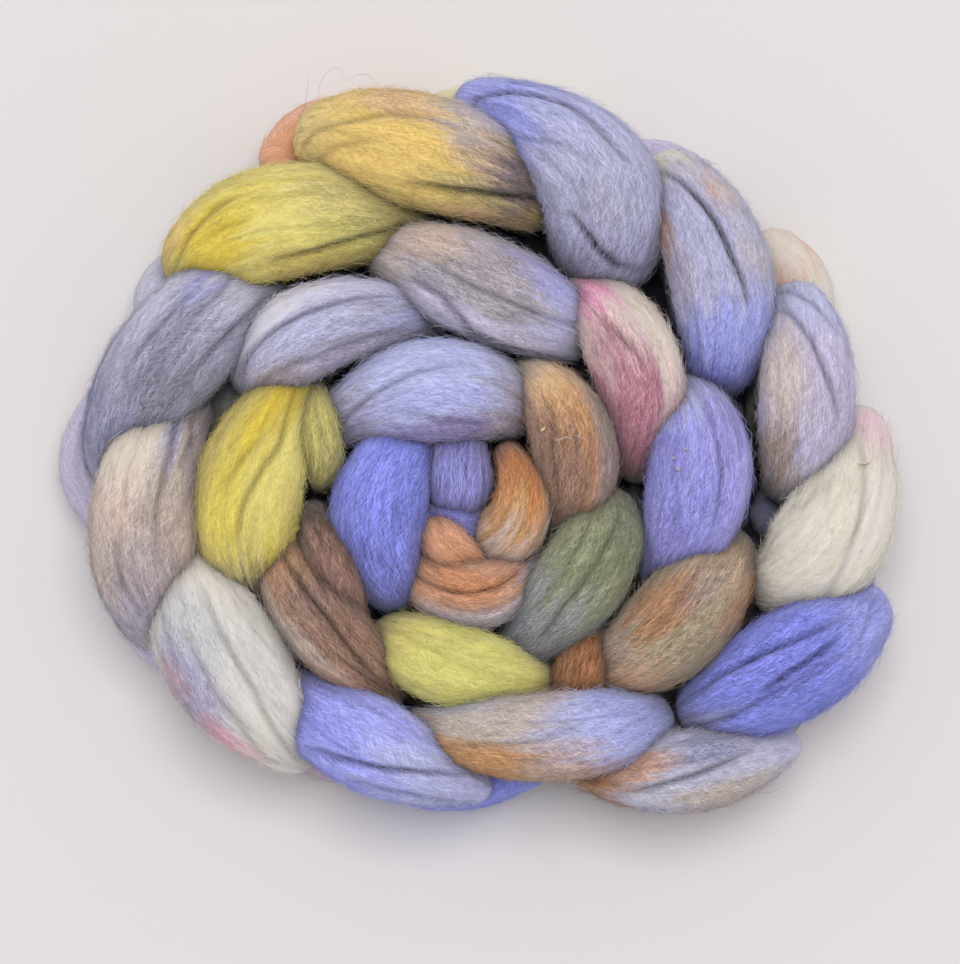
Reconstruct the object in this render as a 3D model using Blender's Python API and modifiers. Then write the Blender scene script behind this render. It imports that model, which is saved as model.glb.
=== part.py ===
"""A length of hand-dyed combed wool top, finger-chained and coiled flat.

The strand is looped into a chain by hand.  The chain stands on its edge and is wound clockwise from its
middle outward, so each stitch shows one leg on top and has one underneath.  The whole hank is one closed
solid: a leg over and a leg under for each stitch, round a core that fills the inside of the coil.

Metres, +Z up.  The origin is the middle of the coil's outline, on the surface that it rests on.
"""

import math
from collections import namedtuple

import bmesh
import bpy
from mathutils import Vector

MM = 0.001                     # the sizes below are in millimetres

# The hank as a whole.
WAIST = 30.0                   # height where the upper and lower legs of a stitch meet
SETTLE = 1.5                   # how much of the lower legs the hank's own weight presses flat
COIL_CENTRE = (0.0, -11.0)

# The legs.
TUCK = 4.0                     # hidden length of a leg beyond each end that shows
SPREAD = 2.0                   # how far the lower legs lie outside the upper ones
LEAN = (-2.5, 0.0)             # how far the lower legs lie to one side of the upper ones
LOWER_FULLNESS = 1.04          # width of a lower leg against the upper legs beside it
TIP_THICKNESS = 0.45           # thickness of a leg at its tucked ends, against its middle
ARCH_POWER = 0.75              # below 1 keeps a leg full and high for more of its length
STATIONS = 11                  # points along a leg
ROUND_RESOLUTION = 3           # bevel resolution of a leg

# The core.
CORE_LOW = 17.0
CORE_HIGH = 39.0
OUTER_TURN = 10                # stitches in the outermost turn

# The surface of the solid.
VOXEL = 3.0
WELD = 0.01
KEPT_FACES = 0.19              # share of the voxel faces that the finished solid keeps
CUTTER_SIZE = (500.0, 500.0, 100.0)

WOOL_COLOUR = (0.50, 0.47, 0.55, 1.0)
WOOL_ROUGHNESS = 0.95

Stitch = namedtuple("Stitch", "outer_x outer_y inner_x inner_y width bow crest")
Leg = namedtuple("Leg", "outer inner width bow middle_height")

# One row for each stitch, clockwise from the middle of the coil outward.
# outer: where the upper leg comes out; inner: where it goes under the next; width: its full width;
# bow: how far its middle bulges outward from the straight line; crest: its height above the surface.
STITCHES = [Stitch(*row) for row in (
    # outer x, y      inner x, y      width  bow   crest
    (-11.0, -21.0,      5.0,   1.0,   21.0,   0.0,  52.0),
    (12.0,    0.0,      3.0, -31.0,   17.0,   2.0,  55.0),
    (17.0,  -34.0,    -14.0, -23.0,   18.0,  12.0,  56.0),
    (-29.5, -45.0,    -21.5,   3.0,   26.5,   2.0,  60.0),
    (-37.0,   4.0,     13.0,   8.5,   27.5,   8.5,  60.0),
    (13.5,   22.5,     26.0, -29.5,   22.5,   6.5,  60.0),
    (40.5,  -13.0,      7.5, -57.0,   23.5,   7.0,  60.0),
    (22.0,  -65.0,    -27.0, -52.0,   22.5,   3.5,  58.0),
    (-24.0, -71.5,    -47.5, -18.0,   24.5,   9.0,  58.0),
    (-65.0, -40.5,    -46.5,  16.0,   31.0,   4.0,  60.0),
    (-67.5,  14.0,    -10.0,  33.5,   24.5,   9.0,  58.0),
    (-26.0,  51.0,     30.0,  28.0,   28.5,   3.5,  60.0),
    (26.0,   51.0,     46.0, -10.0,   24.5,   8.0,  58.0),
    (62.5,   16.0,     48.5, -38.0,   28.0,   5.5,  60.0),
    (73.0,  -29.0,     37.5, -67.0,   26.5,   1.5,  60.0),
    (53.5,  -75.0,    -14.5, -79.0,   23.5,   4.5,  58.0),
    (-1.0,  -92.0,    -51.0, -68.5,   24.0,   4.5,  57.0),
    (-49.5, -90.5,    -80.0, -30.0,   30.0,   6.0,  60.0),
    (-94.5, -52.5,    -84.0,   9.0,   29.5,   5.0,  60.0),
    (-106.0, -1.0,    -58.5,  45.5,   30.5,   4.5,  60.0),
    (-87.5,  52.5,    -23.0,  64.5,   31.5,   4.5,  61.0),
    (-49.5,  84.0,     17.5,  63.5,   32.5,   6.0,  62.0),
    (-1.5,   94.5,     49.5,  46.0,   31.0,   9.5,  62.0),
    (49.5,   80.0,     69.5,  15.0,   29.5,   7.5,  61.0),
    (86.0,   42.0,     87.5, -15.5,   28.0,   4.5,  60.0),
    (105.0,   3.5,     81.5, -43.5,   30.0,   6.0,  60.0),
    (107.5, -43.5,     60.0, -78.5,   31.0,   3.5,  60.0),
    (83.0,  -82.0,     30.0, -91.0,   24.0,   3.0,  50.0),
)]


def plan(x, y):
    """A point in plan, as a vector."""
    return Vector((x, y, 0.0))


def outward_from(point):
    """The direction from the middle of the coil to a point, in plan."""
    return (point - plan(*COIL_CENTRE)).normalized()


def upper_leg(stitch):
    """The leg of a stitch that shows on top of the hank."""
    outer = plan(stitch.outer_x, stitch.outer_y)
    inner = plan(stitch.inner_x, stitch.inner_y)
    return Leg(outer, inner, stitch.width, stitch.bow, stitch.crest - stitch.width / 2)


def lower_leg(stitch, following):
    """The leg underneath, which lies between a stitch's upper leg and the next one's."""
    first, second = upper_leg(stitch), upper_leg(following)
    outer = (first.outer + second.outer) / 2
    inner = (first.inner + second.inner) / 2
    push = outward_from((outer + inner) / 2) * SPREAD + plan(*LEAN)
    width = (first.width + second.width) / 2 * LOWER_FULLNESS
    bow = (first.bow + second.bow) / 2
    return Leg(outer + push, inner + push, width, bow, width / 2 - SETTLE)


def leg_stations(leg):
    """Points and half-thicknesses along a leg, from its outer end to its inner end."""
    along = (leg.inner - leg.outer).normalized()
    outer = leg.outer - along * TUCK
    inner = leg.inner + along * TUCK
    outward = outward_from((outer + inner) / 2)
    stations = []
    for i in range(STATIONS):
        t = i / (STATIONS - 1)
        swell = math.sin(math.pi * t)
        arch = swell ** ARCH_POWER
        place = outer.lerp(inner, t) + outward * leg.bow * swell
        place.z = WAIST + (leg.middle_height - WAIST) * arch
        stations.append((place, leg.width / 2 * (TIP_THICKNESS + (1 - TIP_THICKNESS) * arch)))
    return stations


def add_leg(curve, leg):
    """Add a tapered leg to a curve whose bevel is 1 m deep, so a point's radius is its half-thickness."""
    stations = leg_stations(leg)
    spline = curve.splines.new("POLY")
    spline.points.add(len(stations) - 1)
    for point, (place, half_thickness) in zip(spline.points, stations):
        point.co = (*(place * MM), 1.0)
        point.radius = half_thickness * MM


def strand_legs():
    """All the legs of the chain, upper and lower, in one curve object."""
    curve = bpy.data.curves.new("strand_legs", "CURVE")
    curve.dimensions = "3D"
    curve.bevel_depth = 1.0
    curve.bevel_resolution = ROUND_RESOLUTION
    curve.use_fill_caps = True
    for stitch, following in zip(STITCHES, STITCHES[1:] + STITCHES[-1:]):
        add_leg(curve, upper_leg(stitch))
        add_leg(curve, lower_leg(stitch, following))
    legs = bpy.data.objects.new("strand_legs", curve)
    bpy.context.scene.collection.objects.link(legs)
    return legs


def coil_core():
    """The closed inside of the coil: its outline runs along the middles of the outermost turn."""
    curve = bpy.data.curves.new("coil_core", "CURVE")
    curve.dimensions = "2D"
    curve.fill_mode = "BOTH"
    curve.extrude = (CORE_HIGH - CORE_LOW) / 2 * MM
    spline = curve.splines.new("NURBS")
    spline.use_cyclic_u = True
    outline = [upper_leg(stitch) for stitch in STITCHES[-OUTER_TURN:]]
    spline.points.add(len(outline) - 1)
    for point, leg in zip(spline.points, outline):
        middle = (leg.outer + leg.inner) / 2
        middle += outward_from(middle) * leg.bow
        point.co = (middle.x * MM, middle.y * MM, 0.0, 1.0)
    core = bpy.data.objects.new("coil_core", curve)
    core.location.z = (CORE_HIGH + CORE_LOW) / 2 * MM
    bpy.context.scene.collection.objects.link(core)
    return core


def gathered_mesh(guides, name):
    """One mesh of all the guides' closed surfaces, in world space.  The guides are removed."""
    bpy.context.view_layer.update()
    depsgraph = bpy.context.evaluated_depsgraph_get()
    gathered = bmesh.new()
    for guide in guides:
        piece = bpy.data.meshes.new_from_object(guide.evaluated_get(depsgraph))
        piece.transform(guide.matrix_world)
        gathered.from_mesh(piece)
        bpy.data.meshes.remove(piece)
        bpy.data.objects.remove(guide)
    bmesh.ops.remove_doubles(gathered, verts=gathered.verts, dist=WELD * MM)
    bmesh.ops.recalc_face_normals(gathered, faces=gathered.faces)
    mesh = bpy.data.meshes.new(name)
    gathered.to_mesh(mesh)
    gathered.free()
    return mesh


def floor_cutter(cutters):
    """The block below the surface that the hank rests on."""
    size = Vector(CUTTER_SIZE) * MM
    bpy.ops.mesh.primitive_cube_add(size=1.0, location=(0.0, 0.0, -size.z / 2))
    cutter = bpy.context.object
    cutter.name = "floor_cutter"
    cutter.scale = size
    cutter.hide_render = True
    cutter.display_type = "WIRE"
    for collection in list(cutter.users_collection):
        collection.objects.unlink(cutter)
    cutters.objects.link(cutter)
    return cutter


def wool():
    """Matt hand-dyed wool."""
    material = bpy.data.materials.new("wool")
    material.use_nodes = True
    shader = material.node_tree.nodes["Principled BSDF"]
    shader.inputs["Base Color"].default_value = WOOL_COLOUR
    shader.inputs["Roughness"].default_value = WOOL_ROUGHNESS
    shader.inputs["Metallic"].default_value = 0.0
    material.diffuse_color = WOOL_COLOUR
    return material


def make_one_solid(roving, cutters):
    """Fuse the legs and the core into one skin, thin its faces out and cut it flat where it rests."""
    skin = roving.modifiers.new("one_skin", "REMESH")
    skin.mode = "VOXEL"
    skin.voxel_size = VOXEL * MM
    skin.use_smooth_shade = True
    fewer = roving.modifiers.new("fewer_faces", "DECIMATE")
    fewer.ratio = KEPT_FACES
    rest = roving.modifiers.new("resting_flat", "BOOLEAN")
    rest.operation = "DIFFERENCE"
    rest.solver = "EXACT"
    rest.object = floor_cutter(cutters)


def build():
    """Model the hank as one closed solid."""
    for old in list(bpy.data.objects):
        bpy.data.objects.remove(old)
    parts = bpy.data.collections.new("wool_roving")
    cutters = bpy.data.collections.new("cutters")
    bpy.context.scene.collection.children.link(parts)
    bpy.context.scene.collection.children.link(cutters)

    mesh = gathered_mesh([strand_legs(), coil_core()], "roving")
    mesh.materials.clear()
    mesh.materials.append(wool())
    roving = bpy.data.objects.new("roving", mesh)
    parts.objects.link(roving)
    make_one_solid(roving, cutters)


build()
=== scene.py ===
"""Looks of a hand-dyed wool roving: combed top, finger-chained and coiled flat, chain on its edge."""

import math
from collections import namedtuple

import bpy
import numpy as np
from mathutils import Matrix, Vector
from mathutils.bvhtree import BVHTree


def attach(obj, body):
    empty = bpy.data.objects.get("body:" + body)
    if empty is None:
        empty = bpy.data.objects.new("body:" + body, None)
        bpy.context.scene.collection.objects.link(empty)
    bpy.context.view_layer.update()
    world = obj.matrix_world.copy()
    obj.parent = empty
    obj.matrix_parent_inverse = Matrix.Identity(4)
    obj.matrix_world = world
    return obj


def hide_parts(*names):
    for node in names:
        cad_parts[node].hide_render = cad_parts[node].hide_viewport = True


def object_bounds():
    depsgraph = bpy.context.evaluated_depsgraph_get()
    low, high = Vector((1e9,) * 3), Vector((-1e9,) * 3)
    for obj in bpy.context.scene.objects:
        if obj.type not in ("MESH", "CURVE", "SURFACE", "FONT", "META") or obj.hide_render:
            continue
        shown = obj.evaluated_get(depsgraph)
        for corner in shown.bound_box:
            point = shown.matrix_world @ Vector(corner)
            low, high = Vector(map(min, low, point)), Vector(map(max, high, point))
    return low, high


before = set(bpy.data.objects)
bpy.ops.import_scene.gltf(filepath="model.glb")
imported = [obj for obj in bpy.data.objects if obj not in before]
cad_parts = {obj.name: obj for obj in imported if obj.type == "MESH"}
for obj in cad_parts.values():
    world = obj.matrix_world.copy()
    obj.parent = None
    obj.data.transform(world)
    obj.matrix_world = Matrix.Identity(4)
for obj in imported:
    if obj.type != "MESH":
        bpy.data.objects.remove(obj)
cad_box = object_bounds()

bpy.ops.object.select_all(action="DESELECT")

MM = 0.001

# ---- sizes, in mm unless named otherwise

WAIST = 27.0  # height where the legs of a stitch tuck in
CAP = 0.42  # how far a leg runs on past its end points, as a share of its width there
BLUNTNESS = 3.4  # 2 closes a leg like an ellipse, more keeps it full for longer
TIP = 0.55  # thickness of a leg's ends, against its middle
ARCH = 0.6  # below 1 keeps a leg high for more of its length
FLATNESS = 0.96  # thickness of a leg against its width
ROUNDNESS = 2.15  # 2 is an ellipse in section, more is squarer
BACK_FULLNESS = 1.45  # how much deeper a leg is toward the others above or below it
UNDER_SPREAD = 2.0  # how far the legs underneath lie outside the ones on top
UNDER_LEAN = (-2.0, 0.0)  # and to which side they all lean
SETTLE = 1.5  # how much of the legs underneath is pressed flat
COIL_CENTRE = (0.0, -11.0)  # in plan
COIL_REACH = (115.0, 104.0)  # half the coil's width and depth
CORE_REACH = (92.0, 82.0)  # half the width and depth of the wool deep inside it
CORE_HEIGHTS = (8.0, 22.0)
CORE_LOBES = ((0.02, 5, 0.0), (0.015, 9, 1.0))  # height, number and start of the waves round its edge
CORE_BUMPS = (1.5, 12.0, 7.0)  # height, number outward and round
CORE_BLUNTNESS = 0.7  # below 1 is squarer

OVER_BALL = (90, 60)  # segments and rings of a leg on top
UNDER_BALL = (36, 24)
LINE_BALL = (4, 26)
STRAY_BALL = (4, 24)
CORE_BALL = (96, 24)
CREST_CROWDING = 0.35  # how much closer the vertices lie along the side that shows
TANGENT_STEP = 0.004  # how far along a leg its direction is measured, either way

OVER_MAP, UNDER_MAP, SLIP_MAP = (0.0, 0.66), (0.68, 0.86), (0.88, 1.0)  # rows of a stitch's own map
OVER_SEED, UNDER_SEED, SLIP_SEED, FUZZ_SEED = 11, 61, 111, 900

# The legs on top, from the middle of the coil outward, clockwise: three points of a leg's line in plan, from
# where it comes out to where it goes under the next, its widths there, and the height of its crest.
OVER = {
    "00": ((-4.7, -5.4), (-4.6, -9.3), (-4.7, -11.7), (17, 19, 18), 54),
    "01": ((10.0, -5.2), (12.1, -17.1), (8.0, -25.6), (11, 16, 19), 57),
    "02": ((12.5, -35.1), (0.1, -42.6), (-13.4, -37.3), (13, 18, 17), 56),
    "03": ((-25.7, -35.3), (-28.0, -21.1), (-22.7, -4.1), (21, 27, 23), 60),
    "04": ((-32.7, 10.2), (-12.2, 14.6), (6.4, 12.8), (22, 29, 22), 60),
    "05": ((17.7, 18.4), (26.7, 1.1), (25.5, -17.0), (16, 23, 20), 59),
    "06": ((36.2, -20.3), (29.4, -37.2), (14.7, -53.6), (20, 25, 17), 58),
    "07": ((16.4, -65.1), (-3.7, -62.6), (-21.2, -55.3), (11, 22, 19), 57),
    "08": ((-29.0, -64.0), (-43.8, -49.3), (-52.7, -32.2), (18, 23, 19), 58),
    "09": ((-64.8, -32.2), (-63.3, -12.0), (-53.9, 12.7), (24, 30, 20), 61),
    "10": ((-59.9, 22.5), (-43.7, 33.3), (-18.6, 38.3), (22, 26, 16), 59),
    "11": ((-20.4, 54.2), (0.4, 44.6), (21.1, 36.3), (22, 30, 25), 60),
    "12": ((33.6, 41.4), (45.1, 21.1), (45.9, -0.4), (20, 24, 16), 58),
    "13": ((60.7, 9.3), (61.9, -10.6), (55.3, -29.9), (22, 29, 21), 60),
    "14": ((67.1, -34.4), (55.5, -49.8), (41.6, -59.8), (23, 27, 22), 59),
    "15": ((45.4, -77.2), (17.3, -81.9), (-13.8, -78.6), (20, 24, 14), 61),
    "16": ((-4.3, -94.1), (-26.8, -85.5), (-48.1, -72.6), (15, 25, 22), 56),
    "17": ((-55.9, -78.8), (-71.2, -58.8), (-80.4, -37.1), (24, 33, 21), 60),
    "18": ((-91.2, -44.6), (-93.5, -21.2), (-86.7, 6.0), (25, 30, 24), 60),
    "19": ((-99.5, 3.2), (-86.1, 25.8), (-68.1, 42.9), (26, 32, 28), 59),
    "20": ((-77.9, 55.5), (-55.8, 63.4), (-27.2, 64.4), (25, 32, 23), 60),
    "21": ((-40.5, 89.3), (-16.8, 83.6), (9.8, 75.0), (25, 33, 27), 62),
    "22": ((8.7, 96.3), (30.7, 78.9), (36.0, 60.8), (22, 33, 35), 62),
    "23": ((58.3, 74.3), (67.7, 49.5), (69.3, 27.0), (22, 29, 24), 61),
    "24": ((91.5, 36.5), (92.7, 14.5), (90.5, -5.3), (21, 27, 23), 60),
    "25": ((107.2, -2.3), (99.6, -24.5), (88.5, -36.4), (21, 31, 26), 60),
    "26": ((104.7, -49.0), (88.3, -61.4), (69.1, -71.2), (24, 31, 24), 60),
    "27": ((84.0, -84.5), (59.8, -91.2), (33.0, -92.4), (14, 22, 12), 50),
}

# Slips of wool that lie beside their leg.
SLIPS = {
    "00b": ((1.3, -19.5), (-6.3, -21.6), (-13.3, -18.4), (8, 11, 8), 49),
    "02b": ((0.7, -34.0), (-7.1, -29.7), (-13.4, -22.1), (8, 11, 10), 54),
    "08b": ((-35.2, -47.6), (-40.6, -34.0), (-46.6, -19.6), (9, 13, 10), 57),
    "09b": ((-44.3, -8.7), (-43.1, -1.5), (-46.2, 13.5), (8, 11, 10), 56),
    "14b": ((32.0, -54.0), (29.3, -62.4), (27.6, -70.5), (11, 15, 13), 50),
}

# The legs underneath that show.  The others lie between a stitch's leg on top and the next.
UNDER = {
    "09": ((-68.9, 3.4), (-62.5, 17.4), (-42.6, 31.1), (17, 28, 17)),
    "15": ((12.1, -89.3), (-11.9, -87.6), (-35.8, -79.9), (16, 28, 20)),
    "16": ((-31.2, -87.9), (-50.4, -73.1), (-65.9, -54.3), (14, 29, 17)),
    "17": ((-82.1, -56.3), (-89.2, -40.0), (-87.7, -15.4), (19, 30, 17)),
    "18": ((-105.0, -16.0), (-104.4, 2.2), (-94.0, 24.7), (19, 32, 19)),
    "19": ((-90.6, 34.6), (-83.2, 47.7), (-64.8, 58.1), (17, 30, 16)),
    "20": ((-54.6, 88.5), (-37.4, 91.3), (-8.0, 78.7), (21, 29, 19)),
    "21": ((-8.0, 101.3), (14.8, 95.5), (34.4, 74.0), (16, 29, 19)),
    "22": ((47.2, 87.6), (58.0, 75.5), (61.5, 48.1), (15, 27, 17)),
    "23": ((87.1, 58.7), (90.0, 43.2), (84.9, 15.9), (18, 28, 17)),
    "24": ((97.0, 16.5), (95.4, 1.3), (88.0, -14.0), (16, 27, 19)),
    "26": ((92.0, -65.4), (73.8, -74.2), (52.0, -80.8), (17, 26, 14)),
    "27": ((77.0, -85.9), (60.8, -88.5), (42.2, -91.0), (13, 17, 10)),
}

# ---- dyes

# Dye colours as they look on the wool in plain light, 0 to 255.
DYES = {
    # blues and violets
    "delft": (100, 103, 180), "bluebell": (112, 116, 200), "cornflower": (119, 127, 215),
    "periwinkle": (131, 139, 228), "pale periwinkle": (152, 157, 226), "iris": (165, 167, 240),
    "ice blue": (196, 200, 238), "sky lavender": (188, 193, 236), "lavender": (184, 186, 228),
    "pale lavender": (204, 200, 226), "dusk": (114, 113, 171), "hyacinth": (127, 125, 188),
    "deep violet": (141, 138, 211), "violet": (166, 161, 226), "lilac blue": (180, 179, 211),
    "grape": (144, 131, 179),
    # greys
    "slate": (124, 121, 141), "slate blue": (139, 138, 170), "blue grey": (160, 158, 181),
    "lilac grey": (167, 161, 192), "mist": (191, 189, 210), "heather": (171, 162, 184),
    "lilac": (196, 188, 216), "pewter": (131, 132, 134), "dove": (170, 162, 170), "silver": (205, 205, 207),
    "frost": (236, 232, 246), "mauve": (168, 152, 160), "taupe": (150, 130, 122),
    "grey brown": (112, 95, 95),
    # whites and creams
    "pearl": (233, 228, 223), "milk": (248, 241, 233), "ivory": (237, 230, 214), "cream": (238, 224, 208),
    "shell": (208, 192, 190), "pale straw": (248, 240, 198), "straw": (238, 228, 214),
    # yellows and greens
    "bright lemon": (234, 206, 62), "lemon": (227, 208, 90), "pale lemon": (235, 219, 122),
    "primrose": (246, 236, 140), "butter": (243, 217, 140), "gold": (238, 204, 118),
    "mustard": (204, 183, 98), "khaki": (212, 197, 124), "citron": (206, 196, 108), "olive": (162, 152, 88),
    "chartreuse": (222, 216, 122), "sage": (130, 133, 101), "moss": (122, 125, 94),
    # oranges and browns
    "orange": (196, 122, 62), "amber": (190, 140, 88), "peach": (222, 162, 124), "apricot": (225, 186, 138),
    "clay": (194, 147, 120), "terracotta": (222, 160, 124), "sand": (184, 158, 132),
    "stone": (188, 173, 163), "shell tan": (207, 184, 172), "fawn": (153, 136, 110),
    "caramel": (162, 116, 78), "ochre": (140, 88, 44), "copper": (186, 141, 106),
    "chestnut": (166, 124, 97), "brown": (138, 103, 84), "russet": (138, 101, 87), "cocoa": (84, 60, 50),
    # pinks
    "pink": (238, 164, 194), "blush": (234, 212, 208), "pale pink": (250, 214, 226),
    "dusty pink": (198, 157, 163), "rose": (171, 112, 128), "deep rose": (166, 106, 124),
}

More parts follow.
